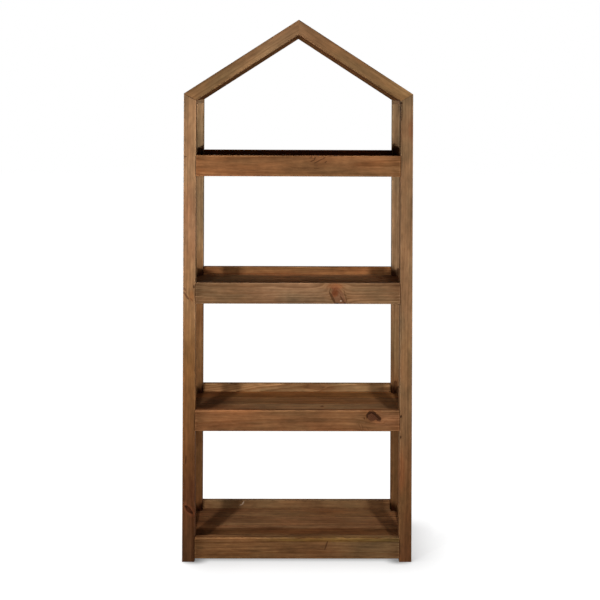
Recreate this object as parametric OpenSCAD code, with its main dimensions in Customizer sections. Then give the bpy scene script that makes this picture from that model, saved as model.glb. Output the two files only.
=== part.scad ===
// House-shaped shelf for a child's room, in solid pine.
// Four square posts carry a pitched roof and four open trays. The sides, front and back are open.
// +Z is up, the front faces -Y, and the origin is on the floor at the middle of the plan.

/* [Overall] */
// Width over the posts
width = 762; // [600:1:1000]
// Depth over the posts, front to back
depth = 320; // [270:1:420]
// Height from the floor to the ridge
height = 1800; // [1700:1:2200]

/* [Frame] */
// Side of the square posts, and thickness of the rafters and roof planks
post = 41; // [38:1:55]
// Radius on the long edges of the posts and rafters
post_ease = 2.5; // [1:0.5:5]
// Slope of the roof, in degrees
roof_pitch = 32.9; // [22:0.1:42]
// Height of the eave rail that shows under the roof, on its inner face
eave_rail_h = 14; // [13:1:40]

/* [Trays] */
// Gap between the floor and the bottom tray
floor_gap = 10; // [6:1:60]
// Height from one tray to the next
tray_pitch = 423; // [300:1:450]
// Height of the lips round a tray
lip_h = 70; // [60:1:110]
// Radius on the long edges of the lips
lip_ease = 3; // [1:0.5:6]
// Radius on the ends of the lips
lip_end_ease = 1.5; // [0.5:0.5:3]
// Thickness of the lips and the slats
board_t = 20; // [17:1:26]
// Depth of a tray, from the top of its lips to its slats
tray_depth = 28; // [15:1:34]
// Side of the square cleats under the slats
cleat = 20; // [16:1:24]

/* [Joinery] */
// Thickness of the tongue on a slat
slat_tongue_t = 6; // [4:0.5:8]
// Length of the tongue on a slat
slat_tongue_l = 6; // [3:0.5:9]
// Thickness of the tongue on a roof plank
roof_tongue_t = 12; // [8:0.5:16]
// Length of the tongue on a roof plank
roof_tongue_l = 8; // [4:0.5:12]
// Chamfer along each seam between slats or roof planks
seam_chamfer = 1.5; // [0.5:0.5:3]
// Clearance in a tongued joint, and round the slats and cleats
joint_gap = 0.3; // [0.1:0.1:0.8]

/* [Dowels] */
// Diameter of the dowels
dowel_d = 8; // [6:0.5:10]
// Length of the dowels
dowel_l = 40; // [30:1:46]
// Clearance round a dowel
dowel_gap = 0.1; // [0.05:0.05:0.3]
// Room for glue at each end of a dowel
glue_room = 1; // [0.5:0.5:3]
// Distance between the two dowels at the end of a rafter
rafter_dowel_pair = 14; // [12:1:18]
// Distance between the two dowels at the end of a roof plank
plank_dowel_pair = 40; // [24:1:50]
// Distance from a lip's top and bottom to its dowels
lip_dowel_inset = 16; // [10:1:22]
// Distance from the inner face of the eave rail to its end dowels
rail_dowel_inset = 9; // [7:0.5:11]

/* [Screws] */
// Diameter of the screws
screw_d = 4; // [3:0.5:5]
// Length of the screws
screw_l = 32; // [26:1:36]
// Diameter of the countersunk heads
screw_head_d = 8; // [6:0.5:9]
// Clearance round a screw
screw_gap = 0.1; // [0.05:0.05:0.3]
// Distance between the screws that hold a cleat to its lip
cleat_screw_pitch = 70; // [50:1:90]

/* [Hidden] */
$fn = 48;
half_w = width / 2;
half_d = depth / 2;
overshoot = 10;

faces = ["front", "back"];
sides = ["left", "right"];
trays = ["bottom", "lower", "upper", "top"];
slat_count = 4;
plank_count = 3;

// The posts' inner faces, and the roof's lines in the front view
inner_x = half_w - post;
inner_y = half_d - post;
plumb_t = post / cos(roof_pitch);
eave_z = height - half_w * tan(roof_pitch);
inner_eave_z = height - inner_x * tan(roof_pitch) - plumb_t;
rail_z = inner_eave_z - eave_rail_h;
mitre_angle = atan2(eave_z - inner_eave_z, post);
slope_l = half_w / cos(roof_pitch);

// The roof's strips from front to back: a rafter, the planks, a rafter
strip_count = plank_count + 2;
plank_w = 2 * inner_y / plank_count;
function strip_y(i) = i == 0 ? -half_d : -inner_y + (i - 1) * plank_w;
function strip_w(i) = (i == 0 || i == strip_count - 1) ? post : plank_w;
function strip_pair(i) = (i == 0 || i == strip_count - 1) ? rafter_dowel_pair : plank_dowel_pair;

// The groove along a strip's front edge, which the tongue before it fills, and the dowels beyond it
function strip_groove(i) = i == 0 ? 0 : roof_tongue_l + joint_gap;
function strip_dowel_ys(i) = [
    for (s = [-1, 1]) strip_y(i) + (strip_groove(i) + strip_w(i) + s * strip_pair(i)) / 2
];

// The trays' heights and the slats' places
tray_inner_x = half_w - board_t;
tray_inner_y = half_d - board_t;
slat_w = 2 * tray_inner_y / slat_count;
cleat_x = tray_inner_x - cleat;
slat_end_x = tray_inner_x - joint_gap;
function lip_z(t) = floor_gap + t * tray_pitch;
function slat_z(t) = lip_z(t) + lip_h - tray_depth - board_t;
function slat_y(k) = -tray_inner_y + k * slat_w;
function lip_dowel_zs(t) = [lip_z(t) + lip_dowel_inset, lip_z(t) + lip_h - lip_dowel_inset];

// The screws' heads and points
screw_head_h = (screw_head_d - screw_d) / 2;
screw_tip_l = screw_d;

// Colours of the pieces
post_colour = "#8f6a47";
roof_colour = "#86603f";
slat_colour = "#6b4a2e";
lip_colours = ["#76512f", "#84573a", "#826245", "#7f553a"];
cleat_colour = "#7a5a3c";
dowel_colour = "#c8a878";
screw_colour = "#8c8c88";

tray_parts = concat(
    [for (f = faces) str(f, "_lip")],
    [for (s = sides) str(s, "_lip")],
    [for (k = [1 : slat_count]) str("slat_", k)],
    [for (s = sides) str(s, "_cleat")]
);

function y_sign(face) = face == "front" ? -1 : 1;

// Everything off the middle is drawn on the right and mirrored to the left.
module on_side(side) {
    if (side == "left") {
        mirror([1, 0, 0]) children();
    } else {
        children();
    }
}

// Sections

module rounded_rect(w, h, r) {
    translate([r, 0]) square([w - 2 * r, h]);
    translate([0, r]) square([w, h - 2 * r]);
    for (x = [r, w - r], y = [r, h - r]) {
        translate([x, y]) circle(r);
    }
}

// A board's section whose seams are chamfered, with a tongue on its far edge or a groove in its near one
module seamed_section(w, t, tongue_l, tongue_t, groove, tongue) {
    near = groove ? seam_chamfer : 0;
    far = tongue ? seam_chamfer : 0;
    difference() {
        union() {
            polygon([
                [0, near], [near, 0], [w - far, 0], [w, far],
                [w, t - far], [w - far, t], [near, t], [0, t - near]
            ]);
            if (tongue) {
                translate([w - tongue_l, (t - tongue_t) / 2]) square([2 * tongue_l, tongue_t]);
            }
        }
        if (groove) {
            translate([-overshoot, (t - tongue_t) / 2 - joint_gap])
                square([overshoot + tongue_l + joint_gap, tongue_t + 2 * joint_gap]);
        }
    }
}

// A board along X with eased edges: its section, its plan and its elevation are each rounded
module eased_board(l, t, h, ease, end_ease) {
    intersection() {
        rotate([90, 0, 90]) linear_extrude(l) rounded_rect(t, h, ease);
        linear_extrude(h) rounded_rect(l, t, end_ease);
        translate([0, t, 0]) rotate([90, 0, 0]) linear_extrude(t) rounded_rect(l, h, end_ease);
    }
}

// Dowels and screws, and the holes they need

module dowel() {
    r = dowel_d / 2;
    c = r / 4;
    rotate_extrude() polygon([
        [0, -dowel_l / 2], [r - c, -dowel_l / 2], [r, c - dowel_l / 2],
        [r, dowel_l / 2 - c], [r - c, dowel_l / 2], [0, dowel_l / 2]
    ]);
}

module dowel_hole() {
    cylinder(h = dowel_l + 2 * glue_room, r = dowel_d / 2 + dowel_gap, center = true);
}

module screw() {
    rotate_extrude() polygon([
        [0, 0], [screw_head_d / 2, 0], [screw_d / 2, screw_head_h],
        [screw_d / 2, screw_l - screw_tip_l], [0, screw_l]
    ]);
}

module screw_hole() {
    g = screw_gap;
    rotate_extrude() polygon([
        [0, -overshoot], [screw_head_d / 2 + g, -overshoot], [screw_head_d / 2 + g, 0],
        [screw_d / 2 + g, screw_head_h], [screw_d / 2 + g, screw_l + g], [0, screw_l + g]
    ]);
}

// Places of the dowels on the right side

module at_eave_mitre(i) {
    for (y = strip_dowel_ys(i)) {
        translate([inner_x + post / 2, y, (eave_z + inner_eave_z) / 2])
            rotate([0, -mitre_angle, 0]) children();
    }
}

module at_ridge(i) {
    for (y = strip_dowel_ys(i)) {
        translate([0, y, height - plumb_t / 2]) rotate([0, 90, 0]) children();
    }
}

module at_rail_end(face) {
    translate([inner_x + rail_dowel_inset, y_sign(face) * inner_y, rail_z + eave_rail_h / 2])
        rotate([90, 0, 0]) children();
}

module at_long_lip_end(face, t) {
    for (z = lip_dowel_zs(t)) {
        translate([inner_x, y_sign(face) * (half_d - board_t / 2), z])
            rotate([0, 90, 0]) children();
    }
}

module at_side_lip_end(face, t) {
    for (z = lip_dowel_zs(t)) {
        translate([half_w - board_t / 2, y_sign(face) * inner_y, z])
            rotate([90, 0, 0]) children();
    }
}

// Places of the screws on the right side, each pointing away from its head

module at_cleat_screw(t) {
    for (s = [-1 : 1]) {
        translate([cleat_x, s * cleat_screw_pitch, slat_z(t) - cleat / 2])
            rotate([0, 90, 0]) children();
    }
}

module at_slat_screw(k, t) {
    translate([cleat_x + cleat / 2, slat_y(k) + slat_w / 2, slat_z(t) - cleat]) children();
}

// The frame

module frame_post(face, side) {
    y0 = face == "front" ? -half_d : inner_y;
    strip = face == "front" ? 0 : strip_count - 1;
    color(post_colour) on_side(side) difference() {
        intersection() {
            translate([inner_x, y0, 0]) linear_extrude(height) rounded_rect(post, post, post_ease);
            translate([0, half_d, 0]) rotate([90, 0, 0]) linear_extrude(depth) polygon([
                [inner_x, 0], [half_w, 0], [half_w, eave_z], [inner_x, inner_eave_z]
            ]);
        }
        at_eave_mitre(strip) dowel_hole();
        at_rail_end(face) dowel_hole();
        for (t = [0 : len(trays) - 1]) {
            at_long_lip_end(face, t) dowel_hole();
            at_side_lip_end(face, t) dowel_hole();
        }
    }
}

// The roof's outline in the front view, mitred at the eave and cut plumb at the ridge
module roof_outline() {
    polygon([[0, height], [half_w, eave_z], [inner_x, inner_eave_z], [0, height - plumb_t]]);
}

// A strip's section in the plane across the slope, from its front edge
module strip_section(i) {
    first = i == 0;
    last = i == strip_count - 1;
    if (first || last) {
        difference() {
            union() {
                rounded_rect(post, post, post_ease);
                if (first) {
                    translate([post - roof_tongue_l, (post - roof_tongue_t) / 2])
                        square([2 * roof_tongue_l, roof_tongue_t]);
                }
            }
            if (last) {
                translate([-overshoot, (post - roof_tongue_t) / 2 - joint_gap])
                    square([overshoot + roof_tongue_l + joint_gap, roof_tongue_t + 2 * joint_gap]);
            }
        }
    } else {
        seamed_section(plank_w, post, roof_tongue_l, roof_tongue_t, true, true);
    }
}

module roof_strip(i, side) {
    color(roof_colour) on_side(side) difference() {
        intersection() {
            translate([0, 0, height]) rotate([0, roof_pitch, 0])
                translate([-overshoot, strip_y(i), -post])
                rotate([90, 0, 90]) linear_extrude(slope_l + 2 * overshoot) strip_section(i);
            translate([0, half_d, 0]) rotate([90, 0, 0]) linear_extrude(depth) roof_outline();
        }
        at_eave_mitre(i) dowel_hole();
        at_ridge(i) dowel_hole();
    }
}

module eave_rail(side) {
    color(roof_colour) on_side(side) difference() {
        translate([0, inner_y, 0]) rotate([90, 0, 0]) linear_extrude(2 * inner_y) intersection() {
            polygon([
                [inner_x, rail_z], [half_w, rail_z], [half_w, eave_z], [inner_x, inner_eave_z]
            ]);
            translate([inner_x, rail_z]) rounded_rect(post, height - rail_z, post_ease);
        }
        for (face = faces) {
            at_rail_end(face) dowel_hole();
        }
        for (i = [1 : plank_count]) {
            at_eave_mitre(i) dowel_hole();
        }
    }
}

// The trays, numbered from the bottom

module long_lip(face, t) {
    y0 = face == "front" ? -half_d : tray_inner_y;
    color(lip_colours[t]) difference() {
        translate([-inner_x, y0, lip_z(t)])
            eased_board(2 * inner_x, board_t, lip_h, lip_ease, lip_end_ease);
        for (side = sides) {
            on_side(side) at_long_lip_end(face, t) dowel_hole();
        }
    }
}

module side_lip(side, t) {
    color(lip_colours[t]) on_side(side) difference() {
        translate([half_w, -inner_y, lip_z(t)]) rotate([0, 0, 90])
            eased_board(2 * inner_y, board_t, lip_h, lip_ease, lip_end_ease);
        for (face = faces) {
            at_side_lip_end(face, t) dowel_hole();
        }
        at_cleat_screw(t) screw_hole();
    }
}

// The first and last slats are notched round the posts.
module slat(k, t) {
    notch = post - board_t + joint_gap;
    color(slat_colour) difference() {
        translate([-slat_end_x, slat_y(k), slat_z(t)]) rotate([90, 0, 90])
            linear_extrude(2 * slat_end_x) seamed_section(slat_w, board_t, slat_tongue_l,
                slat_tongue_t, k > 0, k < slat_count - 1);
        if (k == 0 || k == slat_count - 1) {
            for (x = [-1, 1]) {
                translate([x * tray_inner_x, (k == 0 ? -1 : 1) * tray_inner_y, slat_z(t) + board_t / 2])
                    cube([2 * notch, 2 * notch, 2 * board_t], center = true);
            }
        }
        for (side = sides) {
            on_side(side) at_slat_screw(k, t) screw_hole();
        }
    }
}

module tray_cleat(side, t) {
    color(cleat_colour) on_side(side) difference() {
        translate([cleat_x, joint_gap - inner_y, slat_z(t) - cleat])
            cube([cleat, 2 * (inner_y - joint_gap), cleat]);
        at_cleat_screw(t) screw_hole();
        for (k = [0 : slat_count - 1]) {
            at_slat_screw(k, t) screw_hole();
        }
    }
}

// Dowels and screws

module roof_dowels() {
    color(dowel_colour) for (i = [0 : strip_count - 1]) {
        at_ridge(i) dowel();
        for (side = sides) {
            on_side(side) at_eave_mitre(i) dowel();
        }
    }
}

module frame_dowels() {
    color(dowel_colour) for (side = sides, face = faces) {
        on_side(side) at_rail_end(face) dowel();
        for (t = [0 : len(trays) - 1]) {
            on_side(side) at_long_lip_end(face, t) dowel();
            on_side(side) at_side_lip_end(face, t) dowel();
        }
    }
}

module tray_screws() {
    color(screw_colour) for (side = sides, t = [0 : len(trays) - 1]) {
        on_side(side) at_cleat_screw(t) screw();
        for (k = [0 : slat_count - 1]) {
            on_side(side) at_slat_screw(k, t) screw();
        }
    }
}

for (f = faces, s = sides) {
    strip = f == "front" ? 0 : strip_count - 1;
    frame_post(f, s);
    roof_strip(strip, s);
}
for (s = sides) {
    eave_rail(s);
    for (k = [1 : plank_count]) {
        roof_strip(k, s);
    }
}
for (t = [0 : len(trays) - 1]) {
    for (f = faces) {
        long_lip(f, t);
    }
    for (s = sides) {
        side_lip(s, t);
        tray_cleat(s, t);
    }
    for (k = [0 : slat_count - 1]) {
        slat(k, t);
    }
}
roof_dowels();
frame_dowels();
tray_screws();
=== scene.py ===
"""Looks of a wooden shelf with a house-shaped roof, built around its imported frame."""

import math
import random

import bpy
from mathutils import Euler, Matrix, Vector


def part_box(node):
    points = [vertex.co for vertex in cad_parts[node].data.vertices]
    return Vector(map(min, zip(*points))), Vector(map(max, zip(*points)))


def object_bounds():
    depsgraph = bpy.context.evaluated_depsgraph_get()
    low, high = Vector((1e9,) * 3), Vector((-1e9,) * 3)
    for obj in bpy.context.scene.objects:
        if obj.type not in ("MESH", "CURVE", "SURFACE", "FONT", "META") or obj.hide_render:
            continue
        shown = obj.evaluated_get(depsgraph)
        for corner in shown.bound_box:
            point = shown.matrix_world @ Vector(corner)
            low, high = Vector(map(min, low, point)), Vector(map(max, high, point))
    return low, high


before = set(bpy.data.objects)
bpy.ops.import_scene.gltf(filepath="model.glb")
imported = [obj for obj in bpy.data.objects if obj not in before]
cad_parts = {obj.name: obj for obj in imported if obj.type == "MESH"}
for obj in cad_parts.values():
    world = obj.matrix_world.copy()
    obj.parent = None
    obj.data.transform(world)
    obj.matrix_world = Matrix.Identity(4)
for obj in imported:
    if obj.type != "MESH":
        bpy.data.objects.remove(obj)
cad_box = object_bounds()

# Camera, as the photograph shows it: focal length and horizon in pixels of a 600 pixel frame
PHOTO_SIZE = 600
SENSOR = 36.0
FOCAL_PX = 1000.0
HORIZON_PX = 89.5
CAMERA_AT = (-0.020, -3.4787, 1.568)
CAMERA_YAW = 0.42
CAMERA_ROLL = 0.23

# Soft boxes: x, y, z, width, height, power, and the place each one faces
LAMPS = {
    "left_soft_box": (-0.93, -1.42, 1.10, 0.13, 0.12, 19.0, (-1.40, 0.0, 1.10)),
    "right_soft_box": (0.69, -1.42, 1.10, 0.13, 0.12, 15.2, (1.40, 0.0, 1.10)),
    "front_soft_box": (0.0, -4.60, 1.10, 0.40, 0.24, 15.0, (0.0, 0.0, 1.10)),
    "left_rear_box": (-2.60, 2.40, 0.32, 0.90, 0.40, 38.0, (0.0, 0.0, 0.32)),
    "right_rear_box": (2.60, 2.40, 0.32, 0.90, 0.40, 38.0, (0.0, 0.0, 0.32)),
    "top_box": (0.0, 0.25, 3.30, 0.50, 0.30, 10.0, (0.0, 0.0, 0.0)),
}
AMBIENT = 0.015

# Floor: white to the camera, and shaded by the object on the side away from SKY_LEAN
FLOOR_SIZE = 30.0
FLOOR_PALE = (0.36, 0.36, 0.36, 1)
WHITE = (1, 1, 1, 1)
SKY_LEAN = (-0.68, 0.20, 0.70)
SHADE_REACH = 0.20
SHADE_DEPTH = 0.70
SHADE_SAMPLES = 16

# Painted shadows on the floor, one in the corner between each foot and the lip beside it
SPOT_SIZE = (0.058, 0.032, 1.0)
SPOT_INWARD = 0.006
SPOT_LIGHT = 0.28

# Boards: the frame of each one is its length, width and thickness, in millimetres from its middle
MM = 0.001
X_AXIS = Vector((1, 0, 0))
Y_AXIS = Vector((0, 1, 0))
Z_AXIS = Vector((0, 0, 1))
ROOF_PITCH = math.atan2(cad_box[1].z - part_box("post_front_left")[1].z, cad_box[1].x)
POSTS = ("post_front_left", "post_front_right", "post_back_left", "post_back_right")
TRAYS = ("bottom", "lower", "upper", "top")
NO_END = 9999.0

# Stains of the boards
STAINS = {
    "honey": (0.360, 0.200, 0.100),
    "clay": (0.390, 0.180, 0.070),
    "amber": (0.290, 0.125, 0.044),
    "umber": (0.290, 0.156, 0.070),
    "drab": (0.226, 0.127, 0.063),
    "ash": (0.300, 0.185, 0.098),
    "pale": (0.400, 0.240, 0.125),
    "russet": (0.287, 0.130, 0.053),
    "orange": (0.262, 0.115, 0.047),
    "oak": (0.385, 0.190, 0.085),
    "fawn": (0.190, 0.104, 0.051),
    "dusk": (0.300, 0.143, 0.060),
    "grey": (0.230, 0.126, 0.062),
    "walnut": (0.250, 0.122, 0.049),
    "tan": (0.360, 0.190, 0.080),
    "brick": (0.340, 0.150, 0.058),
    "mud": (0.215, 0.095, 0.036),
    "peat": (0.160, 0.063, 0.026),
    "cocoa": (0.185, 0.078, 0.028),
    "ember": (0.292, 0.130, 0.054),
    "flax": (0.385, 0.212, 0.096),
    "straw": (0.440, 0.248, 0.126),
    "moss": (0.230, 0.148, 0.075),
}

# Tints that multiply the wood's colour
WARM_WOOD = (1.06, 0.98, 0.92, 1)
COOL_WOOD = (0.94, 1.01, 1.00, 1)
LATE_WOOD = (0.54, 0.43, 0.34, 1)
SOAKED_WOOD = (0.50, 0.42, 0.36, 1)
WORN_EDGE = (1.45, 1.50, 1.58, 1)
END_GRAIN = (0.62, 0.54, 0.48, 1)
JOINT_DIRT = (0.30, 0.22, 0.18, 1)
# Painted shade for the trays' corners, on the back posts' front faces
PAINTED_CORNER_SHADE = (0.13, 0.08, 0.06, 1)
# Painted shade under the soffit, on the eave rails
PAINTED_SOFFIT_SHADE = (0.42, 0.30, 0.24, 1)
KNOT_HALO = (0.88, 0.70, 0.58, 1)
KNOT_RINGS = (0.60, 0.50, 0.45, 1)
RAY_FLECK = (0.72, 0.62, 0.52, 1)

# Colours of the marks
RED_KNOT = (0.250, 0.100, 0.055, 1)
BROWN_KNOT = (0.130, 0.051, 0.026, 1)
ROUND_KNOT = (0.160, 0.066, 0.033, 1)
OVAL_KNOT = (0.150, 0.060, 0.030, 1)
DARK_KNOT = (0.070, 0.018, 0.007, 1)
PITCH = (0.040, 0.014, 0.006, 1)
BARK = (0.085, 0.034, 0.014, 1)
RESIN = (0.420, 0.180, 0.060, 1)
BARE_WOOD = (0.700, 0.520, 0.380, 1)

# Noise in the pine: cells in a millimetre along each axis, shift of the seed, octaves, roughness
PINE_NOISE = {
    "slow": ((0.0020, 0.010, 0.010), 0, 1, 0.5),
    "quick": ((0.020, 0.09, 0.09), 0, 2, 0.5),
    "fibre": ((0.020, 0.60, 0.60), 0, 3, 0.65),
    "streak": ((0.009, 0.13, 0.13), 3, 3, 0.6),
    "mottle": ((0.040, 0.09, 0.09), 5, 2, 0.6),
    "fleck": ((0.05, 1.0, 1.0), 0, 1, 0.5),
    "cloud": ((0.0055, 0.020, 0.020), 0, 3, 0.5),
    "hue": ((0.005, 0.016, 0.016), 7, 2, 0.5),
}

# Rings of the pine: how far noise moves them in millimetres, and how unevenly wide they are
SLOW_SWIRL = 22
QUICK_SWIRL = 2.6
RING_UNEVEN = 3.0
UNEVEN_PACE = 0.06

# Late wood: where it lies in each ring, and its strength in the faintest one
LATE_RISE = (0.25, 0.86)
LATE_FALL = (0.90, 1.0)
LATE_FAINTEST = 0.25

# Values of the noise between which flecks appear, and the hue goes from warm to cool
FLECK_RISE = (0.64, 0.72)
HUE_RISE = (0.34, 0.66)

# How strongly each layer changes the tone of the pine; the broad one follows the rings
BROAD_PACE = 0.14
BROAD_TONE = 0.50
FIBRE_TONE = 0.75
STREAK_TONE = 1.3
MOTTLE_TONE = 0.70
CLOUD_TONE = 1.70
FLECK_TONE = -0.30
FLECK_BALANCE = 1.06

# Relief of the pine in millimetres, and how much of it shows: less where a lamp grazes the roof
LATE_RELIEF = 0.16
FIBRE_RELIEF = 0.12
FLECK_RELIEF = -0.12
KNOT_RELIEF = -0.45
SPLIT_RELIEF = -0.6
RELIEF = 0.8
ROOF_RELIEF = 0.15

# Gloss of the pine: a base, and what late wood, fibres and worn edges add to its roughness
ROUGHNESS = 0.76
LATE_ROUGHNESS = -0.10
FIBRE_ROUGHNESS = 0.14
WORN_ROUGHNESS = -0.12
SPECULAR = 0.03
ROOF_SPECULAR = 0.0

# Wear on a board's edges: its reach in millimetres at most, by a word in the name, and how it fades
WEAR = {"front_lip": 9.5, "post": 6.0, "slat": 1.5, "rafter": 1.5, "roof": 1.5}
OTHER_WEAR = 4.0
WEAR_NOISE = (0.02, 0.05, 0.05)
WEAR_FADE = (0.45, 1.0)

# Millimetres over which dirt in a joint and stain soaked in at an end fade away
DIRT_FADE = (0.9, 2.0)
SOAK_FADE = (6.0, 46.0)

# Cosine between a face's normal and the board's length over which the face becomes end grain
END_FACING = (0.80, 0.97)

# Fibres that soak up stain, and the shares at which stain, wear, end grain and dirt cover the wood
SOAKING_FIBRE = (0.42, 0.60)
SOAK_SHARE = 0.7
WORN_SHARE = 0.80
END_SHARE = 0.8
DIRT_SHARE = 0.75

# Outline of a mark: its noise in cells in a millimetre, and how far it strays in the mark's half sizes
OUTLINE_NOISE = (0.05, 0.05, 0.02)
OUTLINE_STRAY = (0.9, 0.9, 0)

# Where each part of a mark rises or fades, in its half sizes, and how fast its rings follow each other
BEND_FADE = (1.5, 5.0)
HEART_FADE = (0.90, 1.02)
RIM_RISE = (0.70, 0.94)
RIM_FADE = (0.98, 1.22)
HALO_FADE = (0.9, 2.4)
RING_PACE = 26.0

# Values of the noise between which a mark's rim fills in, and what is left of it in its gaps
RIM_GAPS = (0.40, 0.56)
RIM_FAINTEST = 0.15

# Beech of the dowels and zinc on the screws, with noise in cells in a metre
BEECH = (0.62, 0.44, 0.27, 1)
BEECH_NOISE = (900.0, 900.0, 160.0)
BEECH_RAYS = (0.35, 0.65)
BEECH_RELIEF = 0.0001
BEECH_ROUGHNESS = (0.5, 0.7)
DULL_ZINC = (0.42, 0.43, 0.44, 1)
BRIGHT_ZINC = (0.66, 0.66, 0.64, 1)
ZINC_NOISE = (300.0, 300.0, 300.0)
ZINC_ROUGHNESS = (0.28, 0.5)

# Range of the noise seeds, one for each board
SEEDS = 50


class Graph:
    """Short forms for the nodes of one tree."""

    def __init__(self, tree):
        self.tree = tree

    def node(self, kind, values=None, **settings):
        made = self.tree.nodes.new(kind)
        for key, value in settings.items():
            setattr(made, key, value)
        for key, value in (values or {}).items():
            self.feed(made.inputs[key], value)
        return made

    def group(self, tree, values):
        return self.node("ShaderNodeGroup", values, node_tree=tree)

    def feed(self, socket, value):
        if isinstance(value, bpy.types.NodeSocket):
            self.tree.links.new(value, socket)
        else:
            socket.default_value = value

    def math(self, operation, *values):
        return self.node("ShaderNodeMath", dict(enumerate(values)), operation=operation).outputs[0]

    def vector(self, operation, *values):
        made = self.node("ShaderNodeVectorMath", dict(enumerate(values)), operation=operation)
        return made.outputs["Value" if operation in ("LENGTH", "DOT_PRODUCT") else "Vector"]

    def parts(self, vector):
        made = self.node("ShaderNodeSeparateXYZ", {0: vector})
        return made.outputs[0], made.outputs[1], made.outputs[2]

    def joined(self, x, y, z):
        return self.node("ShaderNodeCombineXYZ", {0: x, 1: y, 2: z}).outputs[0]

    def step(self, value, low, high, start=0.0, end=1.0):
        """Goes smoothly from start to end as value goes from low to high."""
        values = {"Value": value, "From Min": low, "From Max": high, "To Min": start, "To Max": end}
        return self.node("ShaderNodeMapRange", values, interpolation_type="SMOOTHSTEP").outputs[0]

    def noise(self, vector, density, seed, detail=2.0, roughness=0.5):
        """Noise node with density cells in each unit of vector, along each axis."""
        place = self.vector("MULTIPLY", vector, density)
        values = {"Vector": place, "W": seed, "Scale": 1.0, "Detail": detail, "Roughness": roughness}
        return self.node("ShaderNodeTexNoise", values, noise_dimensions="4D")

    def line_noise(self, value, detail):
        """Noise that varies with one number only."""
        values = {"W": value, "Scale": 1.0, "Detail": detail}
        return self.node("ShaderNodeTexNoise", values, noise_dimensions="1D").outputs[0]

    def around_zero(self, color, size):
        """Noise colour as a vector that swings round zero, times size."""
        return self.vector("MULTIPLY", self.vector("SUBTRACT", color, (0.5, 0.5, 0.5)), size)

    def swing(self, noise, size):
        """Factor that swings round one as the noise swings round a half."""
        return self.math("MULTIPLY_ADD", self.math("SUBTRACT", noise, 0.5), size, 1.0)

    def mix(self, factor, a, b, blend="MIX"):
        made = self.node("ShaderNodeMix", {0: factor, 6: a, 7: b}, data_type="RGBA", blend_type=blend)
        return made.outputs[2]

    def tinted(self, color, tint):
        return self.mix(1.0, color, tint, "MULTIPLY")


def new_material(name):
    """Material with no nodes, and its graph."""
    made = bpy.data.materials.new(name)
    made.use_nodes = True
    made.node_tree.nodes.clear()
    return made, Graph(made.node_tree)


def set_surface(g, shader):
    g.feed(g.node("ShaderNodeOutputMaterial").inputs["Surface"], shader.outputs[0])


def new_group(name, inputs, outputs):
    """Empty node group with its sockets, as (tree, graph, inputs by name, output node)."""
    tree = bpy.data.node_groups.new(name, "ShaderNodeTree")
    kinds = {"f": "NodeSocketFloat", "v": "NodeSocketVector", "c": "NodeSocketColor"}
    for label, kind in inputs.items():
        tree.interface.new_socket(label, in_out="INPUT", socket_type=kinds[kind])
    for label, kind in outputs.items():
        tree.interface.new_socket(label, in_out="OUTPUT", socket_type=kinds[kind])
    graph = Graph(tree)
    given = graph.node("NodeGroupInput").outputs
    result = graph.node("NodeGroupOutput")
    return tree, graph, given, result


def shape_group():
    """Shape of one mark: how it bends the grain round it, and its heart, rim, halo and rings."""
    inputs = {"Point": "v", "Centre": "v", "Turn": "v", "Size": "v", "Seed": "f"}
    outputs = {"Bend": "f", "Heart": "f", "Rim": "f", "Halo": "f", "Rings": "f"}
    tree, g, given, result = new_group("shape", inputs, outputs)
    rough = g.noise(given["Point"], OUTLINE_NOISE, given["Seed"], detail=3)
    stray = g.around_zero(rough.outputs[1], OUTLINE_STRAY)
    values = {"Vector": given["Point"], "Location": given["Centre"]}
    values.update({"Rotation": given["Turn"], "Scale": given["Size"]})
    place = g.node("ShaderNodeMapping", values, vector_type="TEXTURE").outputs[0]
    away = g.vector("LENGTH", g.vector("ADD", place, stray))
    across = g.parts(g.vector("SUBTRACT", given["Point"], given["Centre"]))[1]
    swell = g.math("MINIMUM", 1.0, g.math("DIVIDE", 1.0, g.math("MULTIPLY", away, away)))
    fade = g.step(away, *BEND_FADE, 1.0, 0.0)
    bend = g.math("MULTIPLY", g.math("MULTIPLY", across, swell), g.math("MULTIPLY", fade, -1.0))
    g.feed(result.inputs["Bend"], bend)
    g.feed(result.inputs["Heart"], g.step(away, *HEART_FADE, 1.0, 0.0))
    rim = g.math("MULTIPLY", g.step(away, *RIM_RISE), g.step(away, *RIM_FADE, 1.0, 0.0))
    rim = g.math("MULTIPLY", rim, g.step(rough.outputs[0], *RIM_GAPS, RIM_FAINTEST, 1.0))
    g.feed(result.inputs["Rim"], rim)
    g.feed(result.inputs["Halo"], g.step(away, *HALO_FADE, 1.0, 0.0))
    wave = g.math("SINE", g.math("MULTIPLY", away, RING_PACE))
    g.feed(result.inputs["Rings"], g.math("MULTIPLY_ADD", wave, 0.5, 0.5))
    return tree


def pine_noise(g, given, name):
    """One layer of the pine's noise."""
    density, shift, detail, roughness = PINE_NOISE[name]
    seed = g.math("ADD", given["Seed"], shift) if shift else given["Seed"]
    return g.noise(given["Point"], density, seed, detail, roughness)


def ring_radius(g, given):
    """Distance in millimetres from the pith, swirled by noise and bent round the knots."""
    slow = g.around_zero(pine_noise(g, given, "slow").outputs[1], (0, SLOW_SWIRL, SLOW_SWIRL))
    quick = g.around_zero(pine_noise(g, given, "quick").outputs[1], (0, QUICK_SWIRL, QUICK_SWIRL))
    along = g.parts(given["Point"])[0]
    drift = g.vector("MULTIPLY", given["Drift"], g.joined(along, along, along))
    pith = g.vector("ADD", given["Pith"], drift)
    offset = g.vector("ADD", g.vector("ADD", slow, quick), g.joined(0.0, given["Bend"], 0.0))
    spoke = g.vector("ADD", g.vector("SUBTRACT", given["Point"], pith), offset)
    return g.vector("LENGTH", g.vector("MULTIPLY", spoke, (0, 1, 1)))


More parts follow.
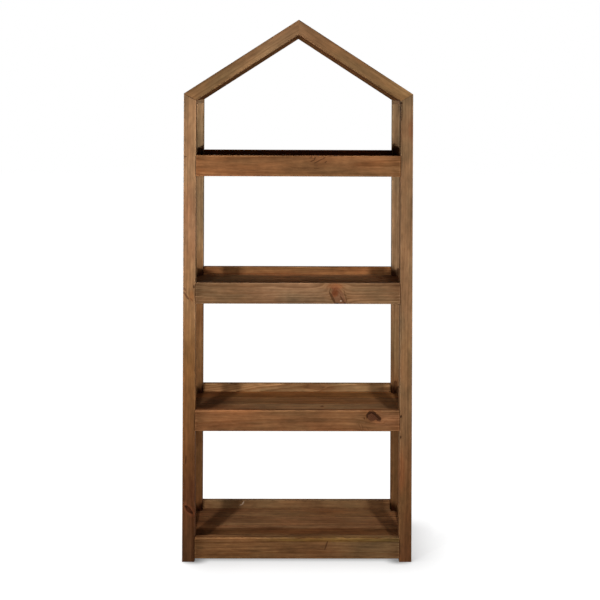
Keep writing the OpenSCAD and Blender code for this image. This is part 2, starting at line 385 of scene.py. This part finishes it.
def late_wood(g, given, radius):
    """Late wood, which fades in across each ring; no two rings are equally wide or strong."""
    pace = g.line_noise(g.math("MULTIPLY_ADD", radius, UNEVEN_PACE, given["Seed"]), detail=1.0)
    count = g.math("ADD", g.math("DIVIDE", radius, given["Ring"]), g.math("MULTIPLY", pace, RING_UNEVEN))
    within = g.math("FRACT", count)
    late = g.math("MULTIPLY", g.step(within, *LATE_RISE), g.step(within, *LATE_FALL, 1.0, 0.0))
    number = g.math("ADD", g.math("FLOOR", count), given["Seed"])
    strength = g.node("ShaderNodeTexWhiteNoise", {"W": number}, noise_dimensions="1D").outputs[0]
    return g.math("MULTIPLY", late, g.math("MULTIPLY_ADD", strength, 1.0 - LATE_FAINTEST, LATE_FAINTEST))


def pine_tone(g, given, radius, fibre, fleck):
    """Brightness of the pine: broad bands of rings, fibres, streaks, mottling, clouds and flecks."""
    broad = g.line_noise(g.math("MULTIPLY_ADD", radius, BROAD_PACE, given["Seed"]), detail=3.0)
    streak = pine_noise(g, given, "streak").outputs[0]
    mottle = pine_noise(g, given, "mottle").outputs[0]
    cloud = pine_noise(g, given, "cloud").outputs[0]
    tone = g.swing(broad, BROAD_TONE)
    bold_streak = g.math("MULTIPLY", given["Bold"], STREAK_TONE)
    layers = ((fibre, FIBRE_TONE), (streak, bold_streak), (mottle, MOTTLE_TONE), (cloud, CLOUD_TONE))
    for layer, size in layers:
        tone = g.math("MULTIPLY", tone, g.swing(layer, size))
    return g.math("MULTIPLY", tone, g.math("MULTIPLY_ADD", fleck, FLECK_TONE, FLECK_BALANCE))


def pine_group():
    """Solid pine: growth rings round a pith, fibres, flecks and slow changes of tone."""
    inputs = {"Point": "v", "Seed": "f", "Bend": "f", "Stain": "c"}
    inputs.update({"Pith": "v", "Drift": "v", "Ring": "f", "Bold": "f"})
    outputs = {"Color": "c", "Late": "f", "Fibre": "f", "Height": "f"}
    tree, g, given, result = new_group("pine", inputs, outputs)
    radius = ring_radius(g, given)
    late = late_wood(g, given, radius)
    fibre = pine_noise(g, given, "fibre").outputs[0]
    fleck = g.step(pine_noise(g, given, "fleck").outputs[0], *FLECK_RISE)
    tone = pine_tone(g, given, radius, fibre, fleck)
    hue = pine_noise(g, given, "hue").outputs[0]
    tint = g.mix(g.step(hue, *HUE_RISE), WARM_WOOD, COOL_WOOD)
    color = g.tinted(given["Stain"], tint)
    color = g.tinted(color, g.joined(tone, tone, tone))
    dark = g.tinted(color, LATE_WOOD)
    color = g.mix(g.math("MULTIPLY", late, given["Bold"]), color, dark)
    g.feed(result.inputs["Color"], color)
    g.feed(result.inputs["Late"], late)
    g.feed(result.inputs["Fibre"], fibre)
    height = g.math("ADD", g.math("MULTIPLY", late, LATE_RELIEF), g.math("MULTIPLY", fibre, FIBRE_RELIEF))
    g.feed(result.inputs["Height"], g.math("MULTIPLY_ADD", fleck, FLECK_RELIEF, height))
    return tree


def edge_group():
    """Wear along a board's edges, dirt in its joints, and stain that soaked in at its ends."""
    inputs = {"Point": "v", "Half": "v", "Seed": "f", "Wear": "f", "Sides": "f"}
    tree, g, given, result = new_group("edge", inputs, {"Near": "f", "Dirt": "f", "Soak": "f"})
    left = g.parts(g.vector("SUBTRACT", given["Half"], g.vector("ABSOLUTE", given["Point"])))
    low = g.math("MINIMUM", left[0], left[1])
    high = g.math("MAXIMUM", left[0], left[1])
    second = g.math("MAXIMUM", low, g.math("MINIMUM", high, left[2]))
    rub = g.noise(given["Point"], WEAR_NOISE, given["Seed"], detail=3).outputs[0]
    width = g.math("MULTIPLY", rub, given["Wear"])
    g.feed(result.inputs["Near"], g.step(g.math("DIVIDE", second, width), *WEAR_FADE, 1.0, 0.0))
    gap = g.math("MULTIPLY_ADD", g.math("SUBTRACT", left[1], left[0]), given["Sides"], left[0])
    g.feed(result.inputs["Dirt"], g.step(gap, *DIRT_FADE, 1.0, 0.0))
    g.feed(result.inputs["Soak"], g.step(left[0], *SOAK_FADE, 1.0, 0.0))
    return tree


SHAPE = shape_group()
PINE = pine_group()
EDGE = edge_group()


def board_axes(name):
    """Length, width and thickness directions of the board with that name."""
    if name.startswith("post"):
        return Z_AXIS, X_AXIS, Y_AXIS
    side = 1 if "left" in name else -1
    slope = Vector((side * math.cos(ROOF_PITCH), 0, math.sin(ROOF_PITCH)))
    if name.startswith("rafter"):
        return slope, Y_AXIS.cross(slope), Y_AXIS
    if name.startswith("roof"):
        return slope, Y_AXIS, slope.cross(Y_AXIS)
    if "slat" in name:
        return X_AXIS, Y_AXIS, Z_AXIS
    if "front_lip" in name or "back_lip" in name:
        return X_AXIS, Z_AXIS, -Y_AXIS
    return Y_AXIS, Z_AXIS, X_AXIS


class Board:
    """A node's own frame: its centre and axes, and its half sizes in millimetres."""

    def __init__(self, name):
        self.name = name
        self.axes = board_axes(name)
        corners = [v.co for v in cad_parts[name].data.vertices]
        low = [min(c.dot(a) for c in corners) for a in self.axes]
        high = [max(c.dot(a) for c in corners) for a in self.axes]
        self.centre = sum((a * (l + h) / 2 for a, l, h in zip(self.axes, low, high)), Vector())
        self.half = Vector(((h - l) / 2 / MM for l, h in zip(low, high)))
        if name.startswith(("post", "rafter", "roof")):
            self.half.x = NO_END
        self.turn = Matrix(self.axes).transposed().to_euler()


def wear_of(name):
    """Width in millimetres that wear reaches at most on a board."""
    for word, reach in WEAR.items():
        if word in name:
            return reach
    return OTHER_WEAR


def stain_along(g, point, stops):
    """Stain that changes along the board, from one stop (millimetres, stain) to the next."""
    along = g.parts(point)[0]
    before, name = stops[0]
    color = (*STAINS[name], 1)
    for here, name in stops[1:]:
        color = g.mix(g.step(along, before, here), color, (*STAINS[name], 1))
        before = here
    return color


def shape_of(g, point, seed, mark):
    """Places the shape of a mark on the board."""
    centre = (mark["along"], mark["across"], mark["behind"])
    turn = (0, 0, math.radians(mark["turn"]))
    size = (mark["long"], mark["wide"], mark["deep"])
    values = {"Point": point, "Centre": centre, "Turn": turn, "Size": size, "Seed": seed}
    return g.group(SHAPE, values)


def paint_knot(g, shape, color, height, mark):
    """Brown heart with rings, a dark rim and a warm halo in the wood round it."""
    warm = g.tinted(color, KNOT_HALO)
    color = g.mix(g.math("MULTIPLY", shape.outputs["Halo"], mark["halo"]), color, warm)
    heart = g.mix(shape.outputs["Rings"], mark["tint"], g.tinted(mark["tint"], KNOT_RINGS))
    color = g.mix(g.math("MULTIPLY", shape.outputs["Heart"], mark["heart"]), color, heart)
    rim = g.math("MULTIPLY", shape.outputs["Rim"], mark["rim"])
    color = g.mix(rim, color, PITCH)
    return color, g.math("MULTIPLY_ADD", rim, KNOT_RELIEF, height)


def paint_patch(g, shape, color, height, mark):
    """Soft patch of another tone."""
    other = g.tinted(color, mark["tint"])
    return g.mix(g.math("MULTIPLY", shape.outputs["Halo"], mark["share"]), color, other), height


def paint_split(g, shape, color, height, mark):
    """Fine crack, pocket of resin or chip; a broken one comes and goes along its length."""
    heart = g.math("MULTIPLY", shape.outputs["Heart"], mark["share"])
    if mark["broken"]:
        heart = g.math("MULTIPLY", heart, shape.outputs["Rings"])
    return g.mix(heart, color, mark["tint"]), g.math("MULTIPLY_ADD", heart, SPLIT_RELIEF, height)


def aged(g, board, color, pine, edge):
    """Wood with stain soaked in at its ends, worn edges, dark end grain and dirt in its joints."""
    open_fibre = g.step(pine.outputs["Fibre"], *SOAKING_FIBRE, SOAK_SHARE, 0.0)
    soak = g.math("MULTIPLY", edge.outputs["Soak"], open_fibre)
    color = g.mix(soak, color, g.tinted(color, SOAKED_WOOD))
    worn = g.tinted(color, WORN_EDGE)
    color = g.mix(g.math("MULTIPLY", edge.outputs["Near"], WORN_SHARE), color, worn)
    facing = g.vector("DOT_PRODUCT", g.node("ShaderNodeNewGeometry").outputs["Normal"], board.axes[0])
    end = g.step(g.math("ABSOLUTE", facing), *END_FACING)
    color = g.mix(g.math("MULTIPLY", end, END_SHARE), color, g.tinted(color, END_GRAIN))
    dirt = g.math("MULTIPLY", edge.outputs["Dirt"], DIRT_SHARE)
    return g.mix(dirt, color, g.tinted(color, JOINT_DIRT))


def roughness_of(g, pine, edge):
    rough = g.math("MULTIPLY_ADD", pine.outputs["Late"], LATE_ROUGHNESS, ROUGHNESS)
    rough = g.math("MULTIPLY_ADD", pine.outputs["Fibre"], FIBRE_ROUGHNESS, rough)
    return g.math("MULTIPLY_ADD", edge.outputs["Near"], WORN_ROUGHNESS, rough)


def wood(board, stains, grain, seed, marks):
    """Material of one board: its stains, its cut from the log and its own marks."""
    made, g = new_material("pine_" + board.name)
    where = g.node("ShaderNodeTexCoord").outputs["Object"]
    values = {"Vector": where, "Location": board.centre, "Rotation": board.turn, "Scale": (MM, MM, MM)}
    point = g.node("ShaderNodeMapping", values, vector_type="TEXTURE").outputs[0]
    shapes = [shape_of(g, point, seed + i, mark) for i, mark in enumerate(marks)]
    bend = 0.0
    for shape, mark in zip(shapes, marks):
        if mark["paint"] == paint_knot:
            bend = g.math("ADD", bend, shape.outputs["Bend"])
    values = {"Point": point, "Seed": seed, "Bend": bend, "Stain": stain_along(g, point, stains)}
    pine = g.group(PINE, {**values, **grain})
    color, height = pine.outputs["Color"], pine.outputs["Height"]
    for shape, mark in zip(shapes, marks):
        color, height = mark["paint"](g, shape, color, height, mark)
    values = {"Point": point, "Half": board.half, "Seed": seed, "Wear": wear_of(board.name)}
    edge = g.group(EDGE, {**values, "Sides": float("slat" in board.name)})
    color = aged(g, board, color, pine, edge)
    rough = roughness_of(g, pine, edge)
    in_roof = board.name.startswith(("rafter", "roof"))
    relief = ROOF_RELIEF if in_roof else RELIEF
    bump = g.node("ShaderNodeBump", {"Height": height, "Distance": MM, "Strength": relief})
    shader = g.node("ShaderNodeBsdfPrincipled", {"Base Color": color, "Roughness": rough})
    g.feed(shader.inputs["Normal"], bump.outputs[0])
    shader.inputs["Specular IOR Level"].default_value = ROOF_SPECULAR if in_roof else SPECULAR
    set_surface(g, shader)
    return made


# Marks: along and across the board from its middle, half length and half width, in millimetres
RIGHT_THROUGH = 1.0e5
RIGHT_ACROSS = 60


def new_mark(paint, along, across, long, wide, tint, turn=0, behind=0, deep=RIGHT_THROUGH, **shares):
    """A mark lies behind the board's middle, reaches deep into it, and is turned in degrees."""
    mark = {"paint": paint, "along": along, "across": across, "long": long, "wide": wide}
    return {**mark, "tint": tint, "turn": turn, "behind": behind, "deep": deep, **shares}


def knot(along, across, long, wide, tint, heart, rim, halo, turn=0):
    return new_mark(paint_knot, along, across, long, wide, tint, turn, heart=heart, rim=rim, halo=halo)


def patch(along, across, long, wide, tint, **place):
    return new_mark(paint_patch, along, across, long, wide, tint, share=1.0, **place)


def band(along, long, red, green, blue):
    """Patch right across a slat."""
    return patch(along, 0, long, RIGHT_ACROSS, (red, green, blue, 1))


def split(along, across, long, wide, share, tint=PITCH, broken=False, **place):
    return new_mark(paint_split, along, across, long, wide, tint, share=share, broken=broken, **place)


def stroke(x0, y0, x1, y1, wide, share, tint=PITCH, **place):
    """Thin line on a board from one place to another."""
    long = math.hypot(x1 - x0, y1 - y0) / 2
    turn = math.degrees(math.atan2(y1 - y0, x1 - x0))
    return split((x0 + x1) / 2, (y0 + y1) / 2, long, wide, share, tint, turn=turn, **place)


def soffit_shade(behind):
    """Painted shade under the soffit, on the inner face of an eave rail only."""
    return patch(0, 8, 300, 3, PAINTED_SOFFIT_SHADE, behind=behind, deep=15)


BOARD_MARKS = {
    "tray_upper_front_lip": [
        # Painted light: a lighter middle on the lip
        patch(-20, 0, 80, 22, (1.12, 1.16, 1.24, 1)),
        knot(137, -14, 44, 19, RED_KNOT, heart=0.45, rim=0.0, halo=0.3, turn=-66),
        patch(126, 24, 14, 6, (1.10, 0.90, 0.82, 1)),
        patch(123, 0, 8, 6, (0.86, 0.62, 0.50, 1), turn=70),
        stroke(109, 18, 105, 4, 2.2, 0.45, BARK),
        stroke(105, 6, 125, -36, 4.2, 0.80, BARK),
        stroke(139, -7, 157, -35, 3.0, 0.70, BARK),
        stroke(152, 12, 164, -30, 2.4, 0.45, BARK),
        split(131, -33, 6, 3, 0.7),
        split(157, -33, 4, 3, 0.7),
        split(143, -24, 3.5, 3, 0.45, BARE_WOOD),
    ],
    "tray_lower_front_lip": [
        patch(300, 6, 30, 16, (1.16, 1.10, 1.16, 1)),
        knot(247, 16, 16, 15, ROUND_KNOT, heart=0.95, rim=0.0, halo=0.5),
        knot(264, 10, 17, 7, OVAL_KNOT, heart=0.90, rim=0.0, halo=0.2, turn=-42),
        stroke(203, -8, 211, -27, 1.6, 0.34, BARK),
        stroke(213, -10, 219, -31, 1.6, 0.34, BARK),
        stroke(228, -18, 238, -31, 1.6, 0.30, BARK),
        stroke(232, 22, 246, 32, 5.0, 0.88),
        stroke(244, 31, 262, 23, 5.6, 0.88),
        stroke(258, 24, 278, 4, 5.2, 0.84),
        stroke(232, 26, 231, 8, 3.0, 0.80),
        stroke(278, 6, 262, 4, 2.4, 0.55),
        stroke(222, 12, 223, 5, 2.6, 0.60),
        stroke(225, -6, 260, -7, 1.6, 0.50, BARK),
        stroke(236, -1, 252, -2, 1.4, 0.45, BARK),
    ],
    "tray_top_front_lip": [
        stroke(57, 32, 52, 19, 2.0, 0.75, BARK),
        stroke(53, 20, 38, 14, 2.0, 0.75, BARK),
        stroke(36, 26, 47, 32, 2.0, 0.55, BARK),
        stroke(90, 30, 80, 23, 2.0, 0.65, BARK),
        stroke(82, 25, 50, 8, 2.0, 0.70, BARK),
        stroke(95, 17, 86, 10, 2.0, 0.65, BARK),
        stroke(52, 1, 66, 1, 1.6, 0.40, BARK),
        stroke(50, -7, 70, -8, 1.6, 0.40, BARK),
    ],
    "tray_bottom_front_lip": [
        stroke(103, 26, 92, -5, 2.2, 0.75, BARK),
        patch(150, 28, 150, 4, (1.08, 1.10, 0.76, 1)),
        # Painted light: a lighter middle on the lip
        patch(0, 0, 90, 22, (1.14, 1.08, 1.08, 1)),
    ],
    "tray_bottom_slat_1": [
        # Painted shade in the tray's front left corner
        patch(-336, 0, 22, 30, (0.30, 0.26, 0.22, 1)),
    ],
    "tray_bottom_slat_2": [
        # Painted shade at the slat's left end
        band(-340, 50, 0.62, 0.57, 0.53),
        patch(0, 23, 300, 9, (1.70, 1.75, 1.92, 1)),
        # Painted shade of the front lip on the slat's front half
        patch(0, -14, 300, 14, (0.76, 0.66, 0.58, 1)),
        # Painted shade in the tray's front left corner
        patch(-338, -22, 14, 16, (0.60, 0.52, 0.46, 1)),
    ],
    "tray_bottom_slat_3": [
        # Painted shade at the slat's left end
        band(-340, 50, 0.62, 0.57, 0.53),
        patch(20, -8, 300, 8, (0.86, 0.86, 0.88, 1)),
    ],
    "tray_bottom_slat_4": [
        # Painted shade at the slat's left end
        band(-340, 60, 0.66, 0.62, 0.60),
        patch(160, -10, 130, 18, (1.15, 1.13, 1.08, 1)),
    ],
    "tray_lower_slat_2": [
        # Painted shade at the slat's left end, where the left post's shadow falls
        band(-340, 60, 0.55, 0.50, 0.46),
        band(40, 150, 1.26, 1.34, 1.42),
        knot(86, 4, 5, 9, BROWN_KNOT, heart=0.6, rim=0.5, halo=0.3),
    ],
    "tray_lower_slat_3": [
        # Painted shade at the slat's left end, where the left post's shadow falls
        band(-340, 70, 0.44, 0.40, 0.38),
        band(60, 170, 0.88, 0.84, 0.76),
    ],
    "tray_lower_slat_4": [
        # Painted shade at the slat's left end, where the left post's shadow falls
        band(-340, 60, 0.55, 0.50, 0.48),
        band(40, 200, 0.96, 0.92, 0.82),
    ],
    "tray_upper_slat_3": [
        # Painted shade at both ends of the slat
        band(342, 16, 0.50, 0.44, 0.42),
        band(-340, 26, 0.50, 0.45, 0.42),
        # Painted light in the middle of the slat, where the lamps hardly reach
        band(60, 170, 1.55, 1.38, 1.32),
    ],
    "tray_upper_slat_4": [
        # Painted shade at both ends of the slat
        band(342, 20, 0.50, 0.44, 0.42),
        band(-340, 26, 0.50, 0.45, 0.42),
        # Painted light in the middle of the slat, where the lamps hardly reach
        band(60, 170, 1.50, 1.33, 1.29),
    ],
    # Painted shade under the soffit on both eave rails
    "eave_rail_left": [
        soffit_shade(20),
    ],
    "eave_rail_right": [
        soffit_shade(-20),
    ],
    "tray_bottom_back_lip": [
        stroke(-190, 34, -197, 20, 2.2, 0.70, BARE_WOOD, behind=10, deep=6),
        stroke(-196, 22, -207, 18, 2.0, 0.45, BARE_WOOD, behind=10, deep=6),
    ],
    "tray_lower_back_lip": [
        knot(66, 24, 34, 9, BROWN_KNOT, heart=0.20, rim=0.35, halo=0.3),
    ],
    "post_front_left": [
        patch(105, 7, 10, 5, (1.16, 1.02, 0.90, 1)),
        stroke(118, -19, 93, -1, 3.4, 0.74, BROWN_KNOT),
        stroke(132, -17, 121, -10, 3.0, 0.62, BROWN_KNOT),
        stroke(100, 3, 86, 13, 2.4, 0.55, BROWN_KNOT),
        split(136, 15, 6, 2.8, 0.75),
        patch(590, 0, 45, 12, (0.86, 0.86, 0.86, 1)),
        patch(-604, 1, 15, 7, (1.45, 1.25, 1.35, 1), turn=-41),
        knot(-604, 1, 18.5, 6.6, DARK_KNOT, heart=0.75, rim=0.85, halo=0.0, turn=-41),
        stroke(-590, -12, -598, -4, 2.6, 0.80),
        stroke(-608, 7, -618, 13, 2.8, 0.80),
        stroke(-421, -8, -455, -9, 1.8, 0.85),
        patch(-690, 16, 60, 2.6, (0.66, 0.60, 0.54, 1)),
        split(567, -16, 2, 6, 0.6),
        patch(340, 4, 70, 16, (1.05, 0.95, 0.96, 1)),
        patch(60, -2, 130, 14, (1.03, 1.00, 0.92, 1)),
        patch(250, 0, 70, 14, (1.10, 1.12, 1.14, 1)),
        patch(-542, 0, 26, 14, (0.90, 0.86, 0.92, 1)),
    ],
    "post_front_right": [
        split(773, 1, 7, 6, 0.6, RESIN),
        split(718, -18, 34, 3.2, 0.95, broken=True),
        split(747, -19, 4, 4, 0.85),
        split(585, -16, 50, 1.6, 0.6, broken=True),
        patch(710, 2, 30, 12, (1.14, 1.15, 1.16, 1)),
        patch(587, 2, 22, 12, (0.86, 0.94, 0.96, 1)),
        patch(-300, 0, 150, 14, (1.16, 1.12, 1.06, 1)),
        patch(-756, 0, 18, 14, (1.14, 1.14, 1.20, 1)),
        patch(660, 14, 18, 5, (1.08, 0.92, 0.88, 1)),
        patch(-90, 0, 60, 12, (1.14, 1.08, 1.02, 1)),
        patch(-700, 0, 60, 12, (1.22, 1.15, 1.20, 1)),
        patch(-480, -14, 45, 6, (1.06, 0.92, 0.88, 1)),
        split(-293, -16, 5, 3, 0.8),
        split(-363, -17, 5, 2.5, 0.8),
    ],
    "post_back_right": [
        knot(-275, -6, 20, 8, DARK_KNOT, heart=0.6, rim=0.5, halo=0.6),
    ],
}

# Lines in a post's joints and painted shade in a tray's corner: sizes in millimetres, and how dark they
# are
MITRE_LINE = 1.9
MITRE_SHARES = {"left": 0.85, "right": 0.4}
LIP_LINE = 1.6
LIP_SHARE = 0.6
CORNER_SIZE = (23, 14)
CORNER_DEPTH = 15


def line_mark(board, start, end, wide, share):
    """Thin dark line on a board between two places in the part."""
    ends = [(place - board.centre).dot(axis) / MM for place in (start, end) for axis in board.axes[:2]]
    return stroke(*ends, wide, share)


def joint_marks(board):
    """Dark lines beside the lips on a post, and in its mitre; painted shade in the corners of the trays.
    """
    if not board.name.startswith("post"):
        return []
    _, face, side = board.name.split("_")
    way = -1 if side == "left" else 1
    outer = board.centre.x + way * board.half.y * MM
    inner = board.centre.x - way * board.half.y * MM
    eave = Vector((outer, 0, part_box(board.name)[1].z))
    heel = Vector((inner, 0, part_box(board.name.replace("post", "rafter"))[0].z))
    found = [line_mark(board, eave, heel, MITRE_LINE, MITRE_SHARES[side])]
    beside = inner + way * MM
    for tray in TRAYS:
        low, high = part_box(f"tray_{tray}_{face}_lip")
        foot = Vector((beside, 0, low.z))
        head = Vector((beside, 0, high.z))
        found.append(line_mark(board, foot, head, LIP_LINE, LIP_SHARE))
        if face == "back":
            along = ((low.z + high.z) / 2 - board.centre.z) / MM
            across = -way * board.half.y
            front = {"behind": -board.half.z, "deep": CORNER_DEPTH}
            # Painted shade in the tray's corner, low on the back post's front face
            found.append(patch(along, across, *CORNER_SIZE, PAINTED_CORNER_SHADE, **front))
    return found


# Stains along the boards that the photograph shows: millimetres from the middle, and the stain there
STAINS_OF = {
    # The posts run darker towards the bottom
    "post_front_left": [(-650, "peat"), (-400, "cocoa"), (-160, "amber"), (160, "honey")],
    "post_front_right": [(-640, "mud"), (-260, "drab")],
    "post_back_left": [(-650, "cocoa"), (-330, "mud"), (80, "walnut"), (320, "moss"), (640, "pale")],
    "post_back_right": [(-640, "mud"), (-137, "umber"), (120, "ash")],
    "rafter_front_left": [(-150, "umber"), (250, "straw")],
    "rafter_front_right": [(-200, "tan"), (-60, "umber"), (30, "umber"), (245, "straw")],
    "tray_top_front_lip": [(0, "russet")],
    "tray_upper_front_lip": [(-340, "fawn"), (-60, "grey")],
    "tray_lower_front_lip": [(-240, "orange"), (-20, "ember")],
    "tray_bottom_front_lip": [(-60, "walnut"), (280, "umber")],
    "tray_upper_back_lip": [(0, "brick")],
    "tray_lower_back_lip": [(0, "flax")],
    "tray_bottom_back_lip": [(0, "umber")],
    "tray_top_back_lip": [(0, "mud")],
    "tray_bottom_slat_1": [(0, "dusk")],
    "tray_bottom_slat_2": [(0, "dusk")],
    "tray_bottom_slat_3": [(0, "oak")],
    "tray_bottom_slat_4": [(0, "oak")],
    "eave_rail_left": [(0, "pale")],
    "eave_rail_right": [(0, "pale")],
}

# Stains that the other boards are drawn from
SLAT_STAINS = {
    "tray_lower": ("oak", "clay"),
    # The upper tray's slats take the palest stains as painted light, since the lamps hardly reach them
    "tray_upper": ("pale", "pale", "honey"),
    "tray_top": ("walnut", "mud", "umber"),
}
ROOF_STAINS = ("mud", "cocoa", "peat")
OTHER_STAINS = ("walnut", "russet", "umber", "grey")


def stains_of(name, rng):
    """Stain stops along a board: the pieces in view follow the photograph."""
    if name in STAINS_OF:
        return STAINS_OF[name]
    if "slat" in name:
        return [(0, rng.choice(SLAT_STAINS[name.split("_slat")[0]]))]
    return [(0, rng.choice(ROOF_STAINS if name.startswith("roof") else OTHER_STAINS))]


def cut(across, behind, ring, drift, bold=0.7):
    """Where the pith lies from the board's middle, how far the rings are apart, and the grain's slope."""
    return {"Pith": (0, across, behind), "Ring": ring, "Drift": (0, drift, drift), "Bold": bold}


CUTS = {
    "tray_top_front_lip": cut(8, -58, 4.6, 0.012),
    "tray_upper_front_lip": cut(62, -75, 4.8, 0.003),
    "tray_lower_front_lip": cut(-48, -80, 5.0, 0.004, 0.5),
    "tray_bottom_front_lip": cut(-68, -60, 5.2, 0.001, 1.0),
    "tray_lower_back_lip": cut(6, -44, 4.0, 0.030, 0.9),
    "post_front_left": cut(50, -60, 4.2, 0.010, 0.35),
    "post_front_right": cut(-60, -70, 3.6, 0.008, 0.35),
    "rafter_front_left": cut(55, -50, 4.0, 0.012, 0.35),
    "rafter_front_right": cut(-45, -60, 4.4, 0.010, 0.35),
}


def cut_of(name, rng):
    """Some boards in view have their own cut; the others come from anywhere in the log."""
    if name in CUTS:
        return CUTS[name]
    side = rng.choice((-1, 1))
    across = rng.uniform(-90, 90)
    behind = side * rng.uniform(30, 110)
    ring = rng.uniform(2.8, 5.0)
    return cut(across, behind, ring, rng.uniform(-0.01, 0.01))


def is_board(name):
    return not name.endswith(("dowels", "screws"))


def dress(node, material):
    node.data.materials.clear()
    node.data.materials.append(material)


def finish_boards():
    """Gives every board its own wood."""
    for name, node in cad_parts.items():
        if not is_board(name):
            continue
        rng = random.Random(name)
        stains = stains_of(name, rng)
        grain = cut_of(name, rng)
        seed = rng.uniform(0, SEEDS)
        board = Board(name)
        marks = BOARD_MARKS.get(name, []) + joint_marks(board)
        dress(node, wood(board, stains, grain, seed, marks))


def beech():
    """Turned beech: pale, with short fine rays."""
    made, g = new_material("beech")
    where = g.node("ShaderNodeTexCoord").outputs["Object"]
    rays = g.noise(where, BEECH_NOISE, seed=3.0, detail=3).outputs[0]
    tone = g.mix(g.step(rays, *BEECH_RAYS), BEECH, g.tinted(BEECH, RAY_FLECK))
    bump = g.node("ShaderNodeBump", {"Height": rays, "Distance": BEECH_RELIEF})
    rough = g.step(rays, 0, 1, *BEECH_ROUGHNESS)
    shader = g.node("ShaderNodeBsdfPrincipled", {"Base Color": tone, "Roughness": rough})
    g.feed(shader.inputs["Normal"], bump.outputs[0])
    set_surface(g, shader)
    return made


def zinc_steel():
    """Zinc-plated steel: cloudy grey, brighter where it is rubbed."""
    made, g = new_material("zinc_steel")
    where = g.node("ShaderNodeTexCoord").outputs["Object"]
    cloud = g.noise(where, ZINC_NOISE, seed=5.0, detail=4).outputs[0]
    tone = g.mix(cloud, DULL_ZINC, BRIGHT_ZINC)
    rough = g.step(cloud, 0, 1, *ZINC_ROUGHNESS)
    shader = g.node("ShaderNodeBsdfPrincipled", {"Base Color": tone, "Roughness": rough})
    shader.inputs["Metallic"].default_value = 1.0
    set_surface(g, shader)
    return made


def finish_fasteners():
    """Gives the dowels beech, and the screws zinc."""
    wooden = beech()
    metal = zinc_steel()
    for name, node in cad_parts.items():
        if not is_board(name):
            dress(node, metal if name.endswith("screws") else wooden)


def seen_directly(g):
    """1 for rays from the camera, or by way of gloss or glass, and 0 for the rest."""
    path = g.node("ShaderNodeLightPath").outputs
    seen = g.math("MAXIMUM", path["Is Camera Ray"], path["Is Glossy Ray"])
    return g.math("MAXIMUM", seen, path["Is Transmission Ray"])


def make_world():
    """White to the camera, and nearly dark to the object."""
    world = bpy.data.worlds.new("studio")
    bpy.context.scene.world = world
    world.use_nodes = True
    world.node_tree.nodes.clear()
    g = Graph(world.node_tree)
    strength = g.math("MULTIPLY_ADD", seen_directly(g), 1.0 - AMBIENT, AMBIENT)
    back = g.node("ShaderNodeBackground", {"Color": WHITE, "Strength": strength})
    g.feed(g.node("ShaderNodeOutputWorld").inputs["Surface"], back.outputs[0])


def painted_foot_shadows(g):
    """Painted shadows on the floor beside the feet: the share of light left there."""
    place = g.node("ShaderNodeTexCoord").outputs["Object"]
    light = 1.0
    for name in POSTS:
        low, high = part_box(name)
        x = high.x if name.endswith("left") else low.x
        y = low.y + SPOT_INWARD if "front" in name else high.y - SPOT_INWARD
        away = g.vector("LENGTH", g.vector("DIVIDE", g.vector("SUBTRACT", place, (x, y, 0)), SPOT_SIZE))
        light = g.math("MULTIPLY", light, g.step(away, 0.0, 1.0, SPOT_LIGHT, 1.0))
    return light


def make_floor():
    """Pale floor that is white to the camera, with the object's shadow on it."""
    bpy.ops.mesh.primitive_plane_add(size=FLOOR_SIZE)
    floor = bpy.context.object
    floor.name = "floor"
    made, g = new_material("pale_floor")
    values = {"Distance": SHADE_REACH, "Normal": g.joined(*SKY_LEAN)}
    open_sky = g.node("ShaderNodeAmbientOcclusion", values, samples=SHADE_SAMPLES).outputs["AO"]
    shaded = g.math("MULTIPLY_ADD", open_sky, SHADE_DEPTH, 1.0 - SHADE_DEPTH)
    # Painted shadows beside the feet darken the floor's glow
    shaded = g.math("MULTIPLY", shaded, painted_foot_shadows(g))
    glow = g.math("MULTIPLY", shaded, seen_directly(g))
    light = g.node("ShaderNodeEmission", {"Color": WHITE, "Strength": glow})
    plain = g.node("ShaderNodeBsdfDiffuse", {"Color": FLOOR_PALE})
    both = g.node("ShaderNodeAddShader", {0: light.outputs[0], 1: plain.outputs[0]})
    set_surface(g, both)
    floor.data.materials.append(made)


def make_lamps():
    """Soft boxes that light the object, and that the camera doesn't see."""
    for name, (x, y, z, width, height, power, faces) in LAMPS.items():
        lamp = bpy.data.lights.new(name, "AREA")
        lamp.shape = "RECTANGLE"
        lamp.size = width
        lamp.size_y = height
        lamp.energy = power
        holder = bpy.data.objects.new(name, lamp)
        holder.location = (x, y, z)
        holder.rotation_euler = (Vector(faces) - Vector((x, y, z))).to_track_quat("-Z", "Y").to_euler()
        holder.visible_camera = False
        bpy.context.scene.collection.objects.link(holder)


def make_camera():
    """Level camera at the photograph's viewing angle, shifted to the photograph's framing."""
    data = bpy.data.cameras.new("camera")
    data.sensor_width = SENSOR
    data.lens = FOCAL_PX / PHOTO_SIZE * SENSOR
    data.shift_y = (HORIZON_PX - PHOTO_SIZE / 2) / PHOTO_SIZE
    holder = bpy.data.objects.new("camera", data)
    holder.location = CAMERA_AT
    level = Euler((math.radians(90), 0, math.radians(-CAMERA_YAW))).to_matrix()
    holder.rotation_euler = (level @ Matrix.Rotation(math.radians(CAMERA_ROLL), 3, "Z")).to_euler()
    bpy.context.scene.collection.objects.link(holder)
    bpy.context.scene.camera = holder


make_camera()
make_world()
make_floor()
make_lamps()
finish_boards()
finish_fasteners()
bpy.context.scene.view_settings.view_transform = "Standard"
